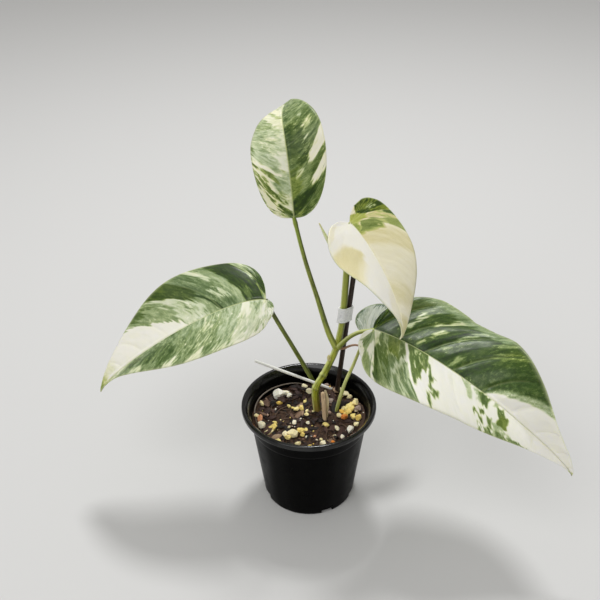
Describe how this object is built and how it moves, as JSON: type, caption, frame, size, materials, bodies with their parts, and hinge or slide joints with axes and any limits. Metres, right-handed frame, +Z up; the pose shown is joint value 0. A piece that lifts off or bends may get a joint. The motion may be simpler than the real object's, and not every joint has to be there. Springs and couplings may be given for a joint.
{
  "type": "potted variegated epipremnum pinnatum",
  "caption": "Variegated climbing aroid in a black nursery pot, with long leaves on thin stalks, a rolled new leaf, and a stem tied to a thin stake.",
  "frame": {"origin": "middle of the pot's flat underside, on the surface it stands on", "axes": "+Z up, -Y towards the picture's viewer, +X to the right, towards the largest leaf"},
  "size_m": [0.332, 0.1811, 0.2881],
  "materials": {
    "pot_plastic": "moulded black plastic, satin, worn grey along the rim",
    "potting_mix": "rough dark bark chips with cream and orange perlite",
    "green_stem": "smooth olive green stalk with faint lengthwise lines",
    "leaf_top": "satin leaf, grey green half and dark green half with cream wedges",
    "leaf_left": "satin leaf, green with cream streaks along the veins",
    "leaf_cream": "satin cream leaf with a green lobe",
    "leaf_right": "satin leaf, grooved green half and cream white half with green flecks",
    "leaf_small": "satin grey green leaf",
    "new_leaf": "smooth pale green rolled leaf",
    "stake": "dark brown stained stake",
    "tie": "frosted translucent band",
    "white_plastic": "smooth white plastic",
    "dry_stub": "dry tan fibrous stub with a papery sheath",
    "aerial_root": "reddish brown root skin"
  },
  "bodies": {
    "root": {"pot": "pot_plastic", "potting_mix": "potting_mix", "main_stem": "green_stem", "petiole_top": "green_stem", "petiole_left": "green_stem", "petiole_cream": "green_stem", "petiole_right": "green_stem", "petiole_small": "green_stem", "leaf_top": "leaf_top", "leaf_left": "leaf_left", "leaf_cream": "leaf_cream", "leaf_right": "leaf_right", "leaf_small": "leaf_small", "new_leaf_spike": "new_leaf", "stake": "stake", "stake_tie": "tie", "white_stick": "white_plastic", "dry_stub": "dry_stub", "aerial_root": "aerial_root"}
  },
  "joints": []
}
